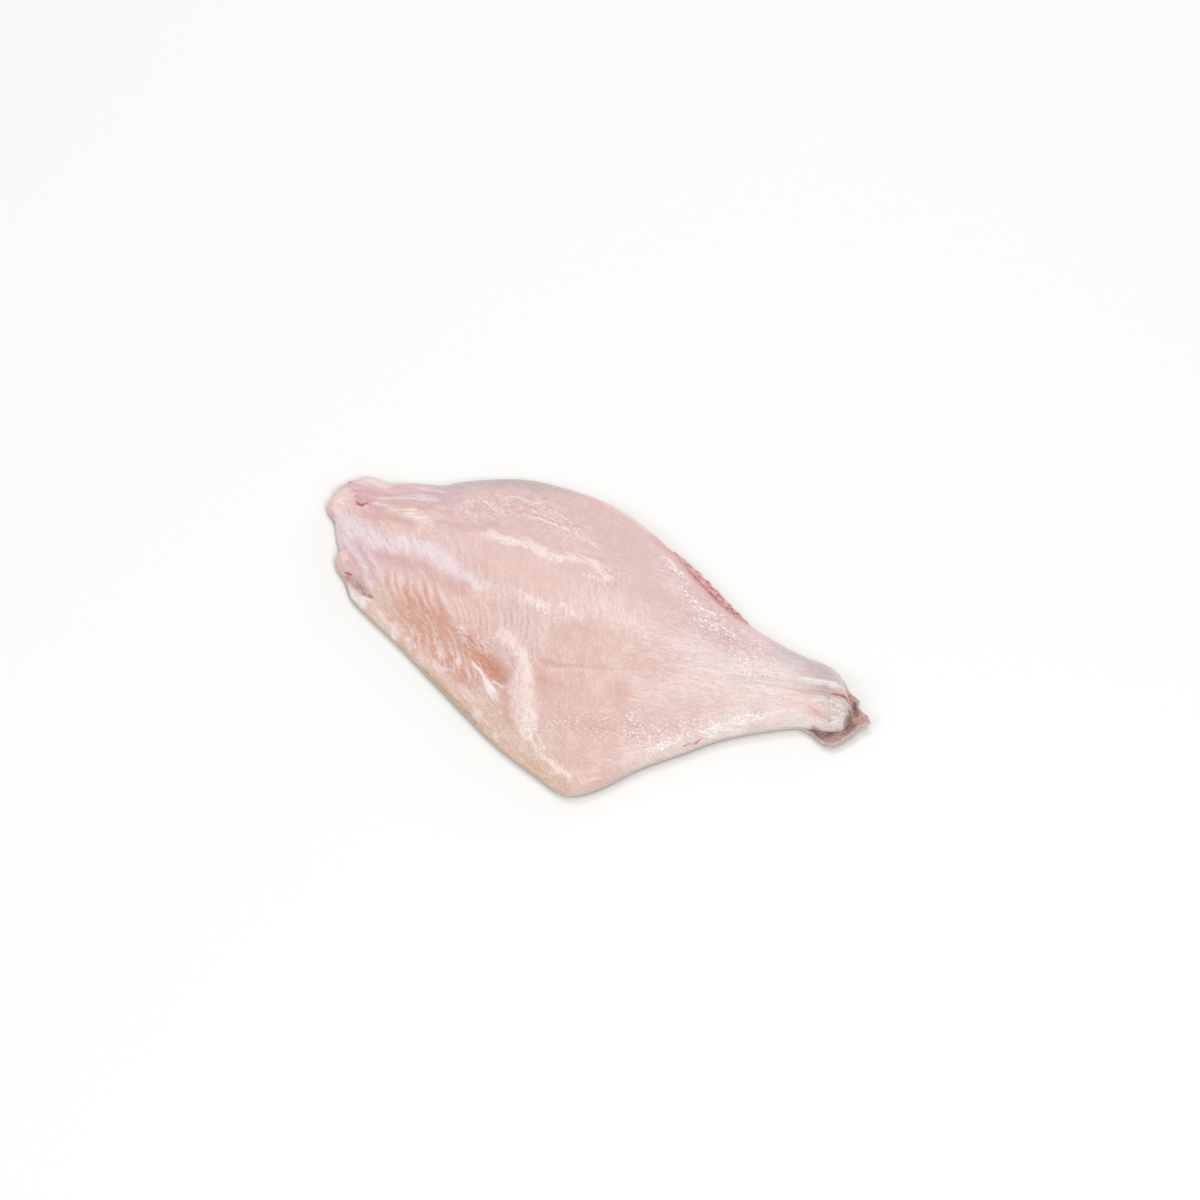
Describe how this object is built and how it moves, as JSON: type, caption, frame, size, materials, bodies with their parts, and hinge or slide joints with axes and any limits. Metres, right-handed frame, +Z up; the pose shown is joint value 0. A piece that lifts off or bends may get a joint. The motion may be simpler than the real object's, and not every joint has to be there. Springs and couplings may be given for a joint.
{
  "type": "fish fillet",
  "caption": "Raw John Dory fillet, skin on, lying skin down with the cut flesh up: domed muscle, thin belly wall and a narrow forked tail end.",
  "frame": {"origin": "on the surface that the fillet lies on, under the middle of its outline", "axes": "+X from the head end to the tail, +Y from the belly edge to the back edge, +Z up, out of the cut flesh"},
  "size_m": [0.2306, 0.1306, 0.019],
  "materials": {
    "flesh": "moist pale pink fish flesh",
    "skin": "moist olive brown fish skin",
    "fin_muscle": "moist red fin muscle"
  },
  "bodies": {
    "root": {"flesh": "flesh", "skin": "skin", "fin_muscle": "fin_muscle"}
  },
  "joints": []
}
